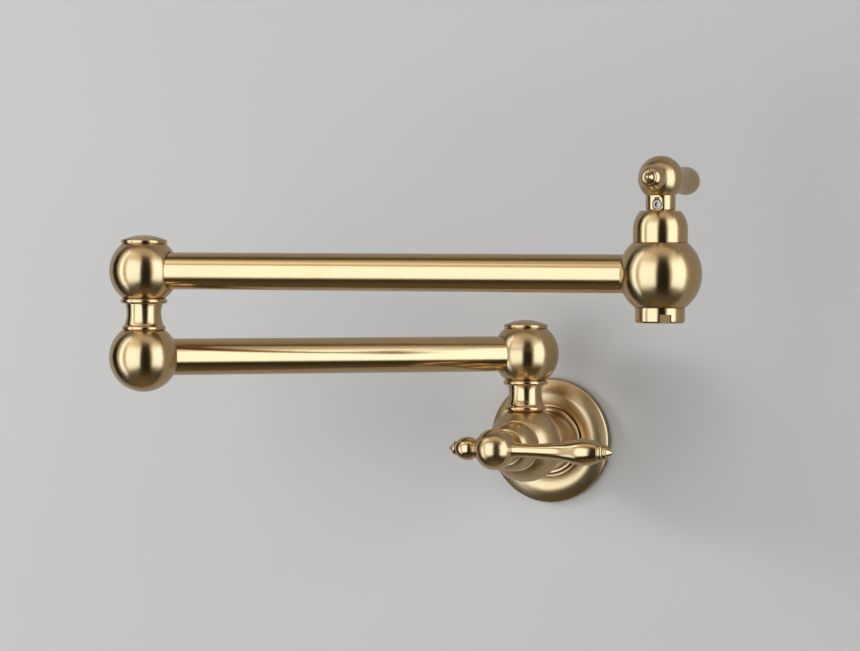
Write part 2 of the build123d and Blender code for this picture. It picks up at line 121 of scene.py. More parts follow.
# %% Helpers for outlines
def arc(centre, radius, start, stop, step=4):
    """Points along an arc, with its angles in degrees from the outward direction."""
    count = max(2, round(abs(stop - start) / step))
    angles = [math.radians(start + (stop - start) * i / count) for i in range(count + 1)]
    return [(centre[0] + radius * math.cos(a), centre[1] + radius * math.sin(a)) for a in angles]


def bow(start, middle, stop, count=12):
    """Points along the one arc that passes through three points."""
    (ax, ay), (bx, by), (cx, cy) = start, middle, stop
    d = 2 * (ax * (by - cy) + bx * (cy - ay) + cx * (ay - by))
    a2, b2, c2 = ax**2 + ay**2, bx**2 + by**2, cx**2 + cy**2
    x = (a2 * (by - cy) + b2 * (cy - ay) + c2 * (ay - by)) / d
    y = (a2 * (cx - bx) + b2 * (ax - cx) + c2 * (bx - ax)) / d
    first = math.atan2(ay - y, ax - x)
    halfway = math.remainder(math.atan2(by - y, bx - x) - first, math.tau)
    sweep = halfway + math.remainder(math.atan2(cy - y, cx - x) - first - halfway, math.tau)
    radius = math.hypot(ax - x, ay - y)
    angles = [first + sweep * i / count for i in range(count + 1)]
    return [(x + radius * math.cos(a), y + radius * math.sin(a)) for a in angles]


def curve(*knots, count=10):
    """Points along a smooth curve, through knots that are each (point, direction, reach)."""
    points = []
    for (p, p_way, p_reach), (q, q_way, q_reach) in zip(knots, knots[1:]):
        start, stop = Vector(p), Vector(q)
        leave = start + Vector(p_way).normalized() * p_reach
        arrive = stop - Vector(q_way).normalized() * q_reach
        points += [tuple(v) for v in interpolate_bezier(start, leave, arrive, stop, count)[:-1]]
    return points + [tuple(knots[-1][0])]


def rounded(outline, count=4):
    """Replaces each corner that has a third number by a small arc that touches both its sides."""
    points = []
    for i, corner in enumerate(outline):
        if len(corner) == 2:
            points.append(Vector(corner))
            continue
        here = Vector(corner[:2])
        back = Vector(outline[i - 1][:2]) - here
        ahead = Vector(outline[(i + 1) % len(outline)][:2]) - here
        half = back.angle(ahead) / 2
        reach = corner[2] / math.tan(half)
        start, stop = here + back.normalized() * reach, here + ahead.normalized() * reach
        middle = here + (back.normalized() + ahead.normalized()).normalized() * (
            corner[2] / math.sin(half) - corner[2]
        )
        points += [Vector(p) for p in bow(start, middle, stop, count)]
    return points


# %% Helpers that draw and spin
STEPS = 128
SMOOTH_BELOW = math.radians(35)
MERGE_BELOW = 0.002 * MM


def draw(points):
    """Draws a chain of edges in a new piece, from one vertex extruded from point to point."""
    bpy.ops.object.select_all(action="DESELECT")
    bpy.ops.mesh.primitive_plane_add(size=MM)
    bpy.ops.object.mode_set(mode="EDIT")
    bpy.ops.mesh.select_all(action="SELECT")
    bpy.ops.mesh.merge(type="CENTER")
    places = [Vector((point[0], 0, point[1])) * MM for point in points]
    bpy.ops.transform.translate(value=places[0])
    for before, after in zip(places, places[1:]):
        bpy.ops.mesh.extrude_vertices_move(TRANSFORM_OT_translate={"value": after - before})


def turn(name, outline):
    """Spins an outline about Z, as a lathe does, and leaves a closed smooth piece."""
    draw(rounded(outline))
    bpy.ops.mesh.select_all(action="SELECT")
    bpy.ops.mesh.spin(steps=STEPS, angle=math.tau, center=(0, 0, 0), axis=(0, 0, 1))
    bpy.ops.mesh.select_all(action="SELECT")
    bpy.ops.mesh.remove_doubles(threshold=MERGE_BELOW)
    bpy.ops.mesh.normals_make_consistent(inside=False)
    bpy.ops.object.mode_set(mode="OBJECT")
    piece = bpy.context.object
    piece.name = name
    bpy.ops.object.shade_smooth_by_angle(angle=SMOOTH_BELOW)
    print(name, len(piece.data.polygons), "faces")
    return piece


def place(piece, origin, upwards, sideways):
    """Sets a piece down with its Z along one direction and its X along another, for good."""
    z, x = upwards.normalized(), sideways.normalized()
    turned_to = Matrix((x, z.cross(x), z)).transposed().to_4x4()
    bpy.ops.object.select_all(action="DESELECT")
    piece.select_set(True)
    bpy.context.view_layer.objects.active = piece
    piece.matrix_world = Matrix.Translation(origin) @ turned_to
    bpy.ops.object.transform_apply(location=True, rotation=True, scale=True)


def copy_of(piece, name):
    """A second piece of the same shape, with its own mesh."""
    bpy.ops.object.select_all(action="DESELECT")
    piece.select_set(True)
    bpy.context.view_layer.objects.active = piece
    bpy.ops.object.duplicate(linked=False)
    bpy.context.object.name = name
    return bpy.context.object


# %% [markdown]
# ## The gold
#
# All the brass wears one colour of plating in three finishes. The wall end is satin: its lines
# are so fine and dense that lamps only show as broad sheens. The balls, hubs and tubes are
# brushed, and blur what they reflect a little. The posts, caps, grips and tips are polished.
# A metal has no colour of its own apart from its reflections, so all three are a metallic surface
# under a thin clear lacquer, and only roughness and fine relief differ. The turning lines are
# noise that changes along the axis and away from it, but not round it.
#
# Turning lines also stretch each reflection across them, so the brushed balls show long upright
# streaks. That is the shader's Anisotropic value, turned by a quarter. Left to itself, Blender
# takes the lines to run round the upright axis, so only pieces turned about it are given any.


# %% Arithmetic on sockets
OBJECT_PLACE, BACK_SIDE, CAMERA_RAY = 3, 6, 0  # outputs of Texture Coordinate, Geometry, Light Path
MIX_FACTOR, MIX_FIRST, MIX_SECOND, MIX_COLOUR = 0, 6, 7, 2  # sockets of a Mix node on colours


class Wire:
    """The output of a shader node, which takes part in Python's arithmetic."""

    def __init__(self, finish, socket):
        self.finish = finish
        self.socket = socket

    def math(self, operation, *values):
        inputs = dict(enumerate(values))
        return self.finish.node("ShaderNodeMath", {"operation": operation}, inputs)

    def __add__(self, other):
        return self.math("ADD", self, other)

    def __sub__(self, other):
        return self.math("SUBTRACT", self, other)

    def __rsub__(self, other):
        return self.math("SUBTRACT", other, self)

    def __mul__(self, other):
        return self.math("MULTIPLY", self, other)

    def __pow__(self, other):
        return self.math("POWER", self, other)

    __radd__ = __add__
    __rmul__ = __mul__


class Finish:
    """One material. node() adds any node, from its type, its settings and its inputs."""

    def __init__(self, name, **constants):
        self.material = bpy.data.materials.new(name)
        self.material.use_nodes = True
        self.tree = self.material.node_tree
        self.surface = self.tree.nodes["Principled BSDF"]
        for socket, value in constants.items():
            self.set(socket.replace("_", " "), value)

    def set(self, socket, value):
        self.plug(self.surface.inputs[socket], value)

    def plug(self, socket, value):
        if isinstance(value, Wire):
            self.tree.links.new(value.socket, socket)
        else:
            socket.default_value = value

    def node(self, kind, settings=None, inputs=None, output=0):
        node = self.tree.nodes.new(kind)
        for name, value in (settings or {}).items():
            setattr(node, name, value)
        for socket, value in (inputs or {}).items():
            self.plug(node.inputs[socket], value)
        return Wire(self, node.outputs[output])

    def blend(self, factor, first, second):
        """A colour between two colours."""
        inputs = {MIX_FACTOR: factor, MIX_FIRST: first, MIX_SECOND: second}
        return self.node("ShaderNodeMix", {"data_type": "RGBA"}, inputs, output=MIX_COLOUR)

    def split(self, vector):
        """The three numbers of a vector."""
        parts = self.node("ShaderNodeSeparateXYZ", inputs={0: vector}).socket.node.outputs
        return [Wire(self, part) for part in parts]


# %% Gold, brushed or polished, for a piece that was turned on a given axis
GOLD_DEEP = (0.58, 0.37, 0.15, 1)
GOLD_PALE = (0.70, 0.475, 0.225, 1)
LINE_SCALE = 3200  # turning lines, about three to a millimetre
LINE_DRIFT = 0.02  # how fast a line changes round the axis
PATCH_SCALE = 45  # worn patches, about 20 mm across
PATCH_GLOSS = 0.06


def gold(name, origin, upwards, sideways, roughness, lines, relief,
         deep=GOLD_DEEP, pale=GOLD_PALE, spun=0.0):
    """Metal with turning lines about an axis.

    lines varies the gloss, relief is in metres, and spun, up to 1, stretches the reflections.
    """
    finish = Finish(name, Metallic=1.0, Coat_Weight=0.6, Coat_Roughness=0.12,
                    Anisotropic=spun, Anisotropic_Rotation=0.25)
    z, x = upwards.normalized(), sideways.normalized()
    tilt = Matrix((x, z.cross(x), z)).transposed().to_euler()
    place_on_piece = finish.node("ShaderNodeTexCoord", output=OBJECT_PLACE)
    local = finish.node(
        "ShaderNodeMapping",
        {"vector_type": "TEXTURE"},
        {"Vector": place_on_piece, "Location": origin, "Rotation": tilt},
    )
    across, along, height = finish.split(local)
    reach = (across * across + along * along) ** 0.5
    groove = finish.node(
        "ShaderNodeCombineXYZ", inputs={0: reach, 1: height, 2: across * LINE_DRIFT})
    fine = finish.node(
        "ShaderNodeTexNoise", inputs={"Vector": groove, "Scale": LINE_SCALE, "Detail": 3})
    coarse = finish.node(
        "ShaderNodeTexNoise", inputs={"Vector": local, "Scale": PATCH_SCALE, "Detail": 4})
    finish.set("Base Color", finish.blend(coarse * 0.6 + fine * 0.4, deep, pale))
    finish.set("Roughness", (fine - 0.5) * lines + (coarse - 0.5) * PATCH_GLOSS + roughness)
    bump = finish.node("ShaderNodeBump", inputs={"Height": fine, "Distance": relief})
    finish.set("Normal", bump)
    return finish.material


def dress(piece, body, slot, material, *nodes):
    """Gives a finished piece its material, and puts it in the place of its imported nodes."""
    piece.data.materials.clear()
    piece.data.materials.append(material)
    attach(piece, body)
    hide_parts(*nodes)


def satin(name, origin, upwards, sideways):
    return gold(name, origin, upwards, sideways, roughness=0.31, lines=0.12, relief=0.000012)


def brushed(name, origin, upwards, sideways):
    return gold(name, origin, upwards, sideways, roughness=0.23, lines=0.12, relief=0.00001,
                spun=0.75 * abs(upwards.normalized().z))


def polished(name, origin, upwards, sideways):
    return gold(name, origin, upwards, sideways, roughness=0.17, lines=0.05, relief=0.000003)


# %% [markdown]
# ## The balls
#
# Every ball has a socket in its side that a tube is let into. A socket that points at the middle
# of a ball cuts it in a true circle, so the ball is spun about the tube's axis, with the socket
# in its outline. Then it is laid on its side, and the flats for the post and the cap are sawn
# off with bisect.

# %% Sizes of the balls and tubes, in millimetres
tube_radius = 11.0
socket_gap = 0.12
socket_depth = 6.0
elbow_radius = 20.8
valve_ball_radius = 23.7
ball_foot = -16.5
ball_crown = 16.0
fixed_crown = 15.9
bonnet_foot = 17.7
spout_foot = -19.0


def ball_outline(radius):
    """A ball with a socket at its lower pole, where the tube comes in."""
    bore = tube_radius + socket_gap
    mouth = -math.sqrt(radius**2 - bore**2)
    mouth_angle = math.degrees(math.atan2(mouth, bore))
    surface = arc((0, 0), radius, 90, mouth_angle, step=2)
    floor = mouth + socket_depth
    return [*surface[:-1], (*surface[-1], 0.35), (bore, floor), (0, floor)]


def saw(piece, point, direction, rounding=0.45):
    """Cuts off what lies beyond a plane, closes the cut and breaks its edge."""
    bpy.ops.object.select_all(action="DESELECT")
    piece.select_set(True)
    bpy.context.view_layer.objects.active = piece
    bpy.ops.object.mode_set(mode="EDIT")
    bpy.ops.mesh.select_all(action="SELECT")
    bpy.ops.mesh.bisect(
        plane_co=point, plane_no=direction, use_fill=True, clear_outer=True, threshold=0.01 * MM
    )
    bpy.ops.mesh.region_to_loop()
    bpy.ops.mesh.bevel(offset=rounding * MM, segments=3, affect="EDGES")
    bpy.ops.object.mode_set(mode="OBJECT")
    bpy.ops.object.shade_smooth_by_angle(angle=SMOOTH_BELOW)


# %% Turn the balls of the elbows and of the spout
def make_ball(name, body, nodes, origin, run, radius, foot=None, crown=None):
    ball = turn(name, ball_outline(radius))
    place(ball, origin, -run, up)
    if crown is not None:
        saw(ball, origin + up * crown * MM, up)
    if foot is not None:
        saw(ball, origin + up * foot * MM, -up)
    dress(ball, body, "satin_gold", brushed(f"brushed gold, {name}", origin, up, run), *nodes)


make_ball("ball_1_shell", "lower_arm", ["ball_1"], ball_1, lower_run, elbow_radius,
          ball_foot, ball_crown)
make_ball("ball_2_shell", "lower_arm", ["ball_2"], ball_2, -lower_run, elbow_radius,
          crown=fixed_crown)
make_ball("ball_3_shell", "upper_arm", ["ball_3"], ball_3, upper_run, elbow_radius,
          ball_foot, ball_crown)
make_ball("spout_ball_shell", "upper_arm", ["spout_ball"], spout, -upper_run,
          valve_ball_radius, spout_foot, bonnet_foot)

# %% [markdown]
# ## The arms
#
# Each arm is a straight drawn tube, with its ends hidden in two sockets. It is spun like the rest,
# and its turning lines run round its own axis.

# %% Draw the two tubes
tube_wall = 1.5
socket_start = 13.0
spout_socket = 16.0


def make_tube(name, body, node, start, finish, start_gap, finish_gap):
    run = finish - start
    length = run.length / MM - start_gap - finish_gap
    inner = tube_radius - tube_wall
    outline = [(inner, 0), (tube_radius, 0), (tube_radius, length), (inner, length), (inner, 0)]
    tube = turn(name, outline)
    place(tube, start + run.normalized() * start_gap * MM, run, up)
    material = gold(f"brushed gold, {name}", start, run, up,
                    roughness=0.17, lines=0.06, relief=0.000004)
    dress(tube, body, "satin_gold", material, node)


make_tube("lower_tube", "lower_arm", "arm_tube_1", ball_1, ball_2, socket_start, socket_start)
make_tube("upper_tube", "upper_arm", "arm_tube_2", ball_3, spout, socket_start, spout_socket)

# %% [markdown]
# ## Posts and caps
#
# A post stands between two balls: a waist drawn in between two round beads. Its spindle goes up
# inside the ball above, and a spigot goes down into the ball below. The cap that closes the ball
# is a low dome on a thick round rim.

# %% Turn one post and one cap, and copy them
post_height = 19.3
spigot_length = 8.4
shoulder = 10.3


def post_outline():
    top = -16.6
    foot = top - post_height
    return [
        (0, foot - spigot_length), (8.45, foot - spigot_length, 0.4), (8.45, foot), (11.9, foot),
        *bow((12.3, foot + 0.1), (13.15, foot + 1.6), (12.3, foot + 3.0)),
        (12.05, foot + 3.15, 0.15),
        *bow((11.85, foot + 3.4), (10.35, foot + post_height / 2), (11.2, top - 3.3)),
        (11.6, top - 3.1, 0.2),
        *bow((13.1, top - 3.0), (14.0, top - 1.55), (13.1, top - 0.1)),
        (12.7, top), (9.0, top), (9.0, shoulder, 0.3), (7.2, shoulder), (7.2, 11.5), (0, 11.5),
    ]


def cap_outline():
    rim_foot, rim_top, dome_top = 16.0, 18.7, 21.3
    dome = 12.3
    swell = (dome**2 + (dome_top - rim_top) ** 2) / (2 * (dome_top - rim_top))
    edge = math.degrees(math.atan2(rim_top - (dome_top - swell), dome))
    return [
        (0, 17.7), (9.65, 17.7), (9.65, 13.4), (11.15, 13.4, 0.2), (11.15, rim_foot),
        *bow((13.2, rim_foot), (13.8, (rim_foot + rim_top) / 2), (13.2, rim_top)),
        *arc((0, dome_top - swell), swell, edge, 90, step=2),
    ]


posts = [turn("post_1_turned", post_outline())]
caps = [turn("cap_1_turned", cap_outline())]
posts.append(copy_of(posts[0], "post_2_turned"))
caps.append(copy_of(caps[0], "cap_2_turned"))
for i, origin in enumerate((ball_1, ball_3)):
    place(posts[i], origin, up, lower_run)
    place(caps[i], origin, up, lower_run)
    dress(posts[i], ("wall_valve", "lower_arm")[i], "polished_gold",
          polished(f"polished gold, post {i + 1}", origin, up, lower_run), f"post_{i + 1}")
    dress(caps[i], ("lower_arm", "upper_arm")[i], "polished_gold",
          polished(f"polished gold, cap {i + 1}", origin, up, lower_run), f"cap_{i + 1}")

# %% [markdown]
# ## The wall end
#
# The valve body is a ball with a thick round tail that meets it in a hollow curve. The flange
# slides over the tail, and a round nut inside its hole holds it to the wall. It has an upright
# rim and a gentle dome with its crest nearer the hole, so its outline is two curves and not an
# arc. The photograph tells it by its light: one broad sheen on the dome, a thin bright line
# where it turns over the rim, and a dark band that is the side of the rim.

# %% Turn the body, the flange and its nut
tail_radius = 18.9
inlet_radius = 9.3
inlet_depth = 12.0
post_out = -wall_valve.y / MM
body_crown = 21.4
ledge_top = 3.4
wall_centre = Vector((0, 0, 0))
rightwards = Vector((1, 0, 0))


def body_outline():
    """From the wall inwards: the inlet, the tail, its hollow corner and the ball."""
    hollow = 3.0
    ball = valve_ball_radius
    meet = math.asin((tail_radius + hollow) / (ball + hollow))
    low = -math.cos(meet) * (ball + hollow)
    touch = -90 + math.degrees(meet)
    crown = math.degrees(math.asin(bonnet_foot / ball))
    return [
        (0, -post_out + inlet_depth), (inlet_radius, -post_out + inlet_depth),
        (inlet_radius, -post_out, 0.5), (tail_radius, -post_out, 0.4),
        *arc((tail_radius + hollow, low), hollow, 180, 90 + math.degrees(meet), step=10),
        *arc((0, 0), ball, touch + 2, crown, step=2), (0, bonnet_foot),
    ]


body = turn("valve_body_shell", body_outline())
place(body, wall_valve, out, rightwards)
saw(body, wall_valve + up * body_crown * MM, up)
dress(body, "wall_valve", "satin_gold",
      satin("satin gold, valve body", wall_valve, out, up), "valve_body")


def flange_outline():
    """The rim and the dome, the hole with a ledge for the nut, and the hollow in the back."""
    rim, gasket, hollow = 40.0, 0.8, 34.0
    edge, crest, lip = (39.5, 5.9), (29.6, 9.8), (23.7, 9.1)
    hole, ledge = 23.4, 19.2
    return [
        (hollow, gasket), (rim, gasket, 0.2), (rim, 5.4, 0.5),
        *curve((edge, (-0.86, 0.5), 3.4), (crest, (-1, 0), 3.2), (lip, (-1, -0.3), 2.0), count=16),
        (hole, 8.8), (hole, ledge_top), (ledge, ledge_top), (ledge, 1.9), (hollow, 2.4),
        (hollow, gasket),
    ]


def collar_outline():
    """The nut stands on the flange's ledge, with its outer edge well broken."""
    bore, face, top = 18.95, 22.0, 9.0
    return [(bore, ledge_top), (face, ledge_top), (face, top, 1.6), (bore, top, 0.3),
            (bore, ledge_top)]


flange = turn("flange_dome", flange_outline())
place(flange, wall_centre, out, up)
dress(flange, "wall_valve", "satin_gold",
      satin("satin gold, flange", wall_centre, out, up), "wall_flange")
collar = turn("flange_nut", collar_outline())
place(collar, wall_centre, out, up)
dress(collar, "wall_valve", "polished_gold",
      brushed("brushed gold, flange nut", wall_centre, out, up), "flange_collar")

# %% [markdown]
# ## The two valves
#
# Both valves have the same head: a bell, a ball on a neck, a long turned grip on one side and a
# short tip on the other. One of each is made standing on its own axis, then copied into the
# frame of each valve. The grip and the tip lie across the axis, so they are turned upright and
# laid down when they are placed.

# %% Sizes of a valve head, in millimetres from the middle of its ball
hub_height = 54.0
hub_radius = 12.8
neck_radius = 8.4
neck_foot = 35.95
lever_seat = 12.0
finial_seat = 11.4
screw_height = 39.1
wall_frame = (wall_valve, out, rightwards)
spout_frame = (spout, up, up.cross(upper_run))


def bonnet_outline():
    """A bell: straight below, and from there one arc inwards that starts upright."""
    foot, straight, top = 17.7, 25.5, 35.7
    radius, top_radius = 15.5, 11.3
    room, neck = 13.6, 7.05
    fall, rise = radius - top_radius, top - straight
    swell = (fall**2 + rise**2) / (2 * fall)
    bend = math.degrees(math.asin(rise / swell))
    return [
        (room, foot), (radius, foot, 0.5), *arc((radius - swell, straight), swell, 0, bend)[:-1],
        (top_radius, top, 0.5), (neck, top, 0.2), (neck, 31.5), (room, 24), (room, foot),
    ]


def hub_outline():
    """A neck that runs up into a ball."""
    low = math.degrees(math.asin(neck_radius / hub_radius)) - 90
    return [
        (0, neck_foot), (neck_radius, neck_foot, 0.6),
        *arc((0, hub_height), hub_radius, low, 90, step=3),
    ]


def lever_outline():
    """A slim neck, a long swelling, two beads and a pointed tip."""
    return [
        (0, lever_seat - 1), (4.9, lever_seat - 1), (4.95, lever_seat),
        *curve(
            ((4.9, 12.1), (-0.2, 1), 2.6), ((4.15, 20.0), (-0.02, 1), 5.5),
            ((5.9, 44.5), (0.19, 1), 6.5), ((8.3, 57.5), (0.0, 1), 3.4),
            ((6.15, 67.2), (-0.45, 1), 2.6),
        ),
        (5.5, 67.6, 0.15), *bow((5.55, 67.75), (5.9, 69.1), (5.1, 70.4)), (4.4, 70.6, 0.1),
        *bow((4.4, 70.75), (4.6, 71.7), (3.9, 72.8)), (3.3, 73.0, 0.15), (1.4, 75.5, 0.3),
        *bow((1.3, 75.7), (0.75, 76.2), (0, 76.36), count=4),
    ]


def finial_outline():
    """A thin bead, a long bulb, a small bead and a pointed tip."""
    shape = [
        (0, -1), (5.4, -1), *bow((5.5, 0), (5.9, 0.7), (5.5, 1.4), count=8), (5.2, 1.6, 0.1),
        *curve(
            ((5.75, 1.9), (0.55, 1), 1.6), ((7.2, 6.4), (0, 1), 2.6),
            ((4.75, 13.0), (-0.85, 1), 2.6),
        ),
        (3.7, 13.45, 0.15),
        *bow((3.75, 13.6), (4.2, 14.7), (3.45, 15.8)), (2.7, 16.1, 0.15), (1.3, 17.8, 0.2),
        *bow((1.2, 18.0), (0.7, 18.4), (0, 18.55), count=4),
    ]
    return [(r, finial_seat + h, *more) for r, h, *more in shape]


# %% Turn one head and copy it to the other valve
def flatten_sides(hub):
    """Saws the two flats on the ball that the grip and the tip stand on."""
    middle = up * hub_height * MM
    saw(hub, middle + rightwards * lever_seat * MM, rightwards, 0.2)
    saw(hub, middle - rightwards * finial_seat * MM, -rightwards, 0.2)
    return hub


shapes = {
    "bonnet": turn("bonnet_1_turned", bonnet_outline()),
    "hub": flatten_sides(turn("hub_1_turned", hub_outline())),
    "lever": turn("lever_1_turned", lever_outline()),
    "finial": turn("finial_1_turned", finial_outline()),
}

# %% [markdown]
# A set screw under the tip holds the hub to its spindle. Its hole is the one shape here that no
# lathe makes, so a cutter is turned like the rest, laid across the neck and taken away from it
# with a Boolean. The screw is plain steel and has a socket for a hex key, which a cylinder with
# six sides takes out of it.


# %% Drill the neck and make the set screw
def take_away(piece, cutter):
    """Subtracts one piece from another for good, and removes the cutter."""
    bpy.ops.object.select_all(action="DESELECT")
    piece.select_set(True)
    bpy.context.view_layer.objects.active = piece
    cut = piece.modifiers.new("cut", "BOOLEAN")
    cut.operation = "DIFFERENCE"
    cut.solver = "EXACT"
    cut.object = cutter
    bpy.ops.object.modifier_apply(modifier=cut.name)
    bpy.data.objects.remove(cutter)


screw_start = up * screw_height * MM
drill = turn("drill", [(0, 2), (2.75, 2), (2.75, 7.75), (3.3, 8.3), (3.3, 12), (0, 12)])
place(drill, screw_start, -rightwards, up)
take_away(shapes["hub"], drill)


def make_set_screw():
    """A headless screw, turned first, then a six-sided key is taken away from its end."""
    key_width, key_length, key_middle = 3.0, 5.0, 7.9
    screw = turn("set_screw_1_steel", [
        (0, 3.5), (2.0, 3.5), (2.7, 4.2), (2.7, 7.6, 0.3), (2.1, 7.7), (0, 7.7)])
    bpy.ops.object.select_all(action="DESELECT")
    bpy.ops.mesh.primitive_cylinder_add(
        vertices=6, radius=key_width / math.sqrt(3) * MM, depth=key_length * MM,
        location=(0, 0, key_middle * MM))
    take_away(screw, bpy.context.object)
    place(screw, screw_start, -rightwards, up)
    return screw


shapes["set_screw"] = make_set_screw()
print("set screw", len(shapes["set_screw"].data.polygons), "faces")

# %% [markdown]
# Both heads are put down now: first the copies for the spout, then the originals on the wall.

# %% Place both heads
def steel(name, origin, upwards, sideways):
    return gold(name, origin, upwards, sideways, roughness=0.2, lines=0.08, relief=0.000003,
                deep=(0.24, 0.19, 0.14, 1), pale=(0.38, 0.29, 0.205, 1))


def set_down_head(number, body_name, arm_name, frame_of_valve, parts):
    """Each row: the piece, its frame, its turning axis, its body, its slot and its metal."""
    origin, upwards, sideways = frame_of_valve
    across = origin + upwards * hub_height * MM
    lever_axis, finial_axis = (across, sideways, upwards), (across, -sideways, upwards)
    screw_axis = (origin + upwards * screw_height * MM, -sideways, upwards)
    bonnet_metal = (satin, brushed)[number - 1]
    for kind, set_at, axis, rides_on, slot, metal in (
        ("bonnet", frame_of_valve, frame_of_valve, arm_name, "satin_gold", bonnet_metal),
        ("hub", frame_of_valve, frame_of_valve, body_name, "satin_gold", brushed),
        ("lever", lever_axis, lever_axis, body_name, "polished_gold", polished),
        ("finial", finial_axis, finial_axis, body_name, "polished_gold", polished),
        ("set_screw", frame_of_valve, screw_axis, body_name, "steel", steel),
    ):
        piece = parts[kind]
        place(piece, *set_at)
        metal_name = "steel" if metal is steel else f"{metal.__name__} gold"
        material = metal(f"{metal_name}, {kind.replace('_', ' ')} {number}", *axis)
        dress(piece, rides_on, slot, material, f"{kind}_{number}")


copies = {}
for kind, piece in shapes.items():
    copies[kind] = copy_of(piece, piece.name.replace("_1_", "_2_"))
set_down_head(1, "handle_1", "wall_valve", wall_frame, shapes)
set_down_head(2, "handle_2", "upper_arm", spout_frame, copies)

# %% [markdown]
# ## The aerator
#
# The spout ends in a screwed shell that holds the aerator. Two notches in its lower edge take
# the key that unscrews it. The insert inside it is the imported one, and shows from below.

# %% Turn the shell and cut its notches
aerator_bottom = -27.6
notch_size = (8.4, 6.6, 9.8)
notch_reach = 16.6
notch_heading = math.radians(-59.0)
shell = turn("aerator_shell_turned", [
    (9.6, -26.2), (9.6, aerator_bottom, 0.3), (13.2, aerator_bottom, 0.3), (14.1, -26.6, 0.4),
    (14.1, spout_foot, 0.3), (11.95, spout_foot), (11.95, -13.2, 0.3), (10.6, -13.2),
    (10.6, -26.2), (9.6, -26.2),
])
bpy.ops.object.select_all(action="DESELECT")
bpy.ops.mesh.primitive_cube_add(size=MM, location=(0, 0, aerator_bottom * MM))
notches = bpy.context.object
bpy.ops.object.mode_set(mode="EDIT")
bpy.ops.mesh.select_all(action="SELECT")
bpy.ops.transform.resize(value=notch_size)
bpy.ops.transform.translate(value=(notch_reach * MM, 0, 0))
bpy.ops.mesh.duplicate_move()
bpy.ops.transform.translate(value=(-2 * notch_reach * MM, 0, 0))
bpy.ops.object.mode_set(mode="OBJECT")
take_away(shell, notches)
place(shell, spout, up, Vector((math.cos(notch_heading), math.sin(notch_heading), 0)))
dress(shell, "upper_arm", "polished_gold",
      polished("polished gold, aerator", spout, up, upper_run), "aerator_shell")

# %% [markdown]
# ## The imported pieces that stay
#
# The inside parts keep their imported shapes: seals, discs, cartridges, spindles and screws. Each
# material slot of the record gets a finish of its own, laid on every node that uses the slot.

# %% Finishes for what is inside
def grainy(name, dark, pale, roughness, scale, relief, metallic=0.0):
    """A plain material with the fine uneven grain of moulded, cast or fired stuff."""
    finish = Finish(name, Metallic=metallic)
    place_on_piece = finish.node("ShaderNodeTexCoord", output=OBJECT_PLACE)
    grain = finish.node(
        "ShaderNodeTexNoise", inputs={"Vector": place_on_piece, "Scale": scale, "Detail": 4})
    finish.set("Base Color", finish.blend(grain, dark, pale))
    finish.set("Roughness", (grain - 0.5) * 0.2 + roughness)
    bump = finish.node("ShaderNodeBump", inputs={"Height": grain, "Distance": relief})
    finish.set("Normal", bump)
    return finish.material


inside = {
    "satin_gold": grainy("inside, gold", GOLD_DEEP, GOLD_PALE, 0.3, 900, 0.00001, 1.0),
    "polished_gold": grainy("inside, bright gold", GOLD_DEEP, GOLD_PALE, 0.15, 900, 0.00001, 1.0),
    "plain_brass": grainy(
        "inside, brass", (0.55, 0.36, 0.12, 1), (0.70, 0.50, 0.20, 1), 0.3, 700, 0.00001, 1.0),
    "steel": grainy(
        "inside, steel", (0.42, 0.41, 0.40, 1), (0.60, 0.59, 0.58, 1), 0.28, 900, 0.00001, 1.0),
    "rubber": grainy(
        "inside, rubber", (0.012, 0.012, 0.012, 1), (0.03, 0.03, 0.03, 1), 0.65, 1500, 0.00002),
    "ceramic": grainy(
        "inside, ceramic", (0.72, 0.70, 0.66, 1), (0.80, 0.79, 0.76, 1), 0.18, 1200, 0.000002),
    "white_plastic": grainy(
        "inside, white plastic", (0.70, 0.70, 0.68, 1), (0.80, 0.80, 0.78, 1), 0.4, 800, 0.00001),
}

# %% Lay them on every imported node, the shown and the hidden
slot_of = {part["node"]: part["material_slot"] for part in frame["record"]["subparts"]}
for name, node in frame["nodes"].items():
    for socket in node.material_slots:
        socket.material = inside[slot_of[name]]
print(len(frame["nodes"]), "packed nodes finished in", len(inside), "ways")

# %% [markdown]
# ## The studio
#
# Polished metal shows its surroundings more than itself, so the light is part of its look. The
# photograph shows two soft boxes in the balls, a wide one to the left of the camera and a tall
# one far to the right, with a dark gap between. The wall is a real surface here, right behind
# the tap, and catches its soft shadows. It takes the place of a floor.
#
# What the metal mirrors and what lights the wall are set apart by ray visibility, because one
# set of lamps can't match both. The soft boxes and the low sun are seen by matt surfaces alone.
# The sheens are seen by gloss alone, and have bright cool middles, so that the gold isn't too
# yellow where it shines. The metal also mirrors a copy of the wall whose darker colour is painted
# shade, and the world's warm light from above and below.

# %% The wall, and what of it the metal mirrors
def plain_surface(name, colour):
    """A matt surface with one side: seen from behind, it lets the view and the light through."""
    finish = Finish(name, Roughness=0.8, Specular_IOR_Level=0.0)
    finish.set("Base Color", (*colour, 1))
    behind = finish.node("ShaderNodeNewGeometry", output=BACK_SIDE)
    clear = finish.node("ShaderNodeBsdfTransparent")
    matt = Wire(finish, finish.surface.outputs[0])
    both = finish.node("ShaderNodeMixShader", inputs={0: behind, 1: matt, 2: clear})
    finish.plug(finish.tree.nodes["Material Output"].inputs["Surface"], both)
    return finish.material


def wall_sheet(name, size, location, material):
    """An upright square that faces the camera."""
    bpy.ops.object.select_all(action="DESELECT")
    bpy.ops.mesh.primitive_plane_add(
        size=size, location=location, rotation=(math.radians(90), 0, 0))
    surface = bpy.context.object
    surface.name = name
    surface.data.materials.append(material)
    return surface


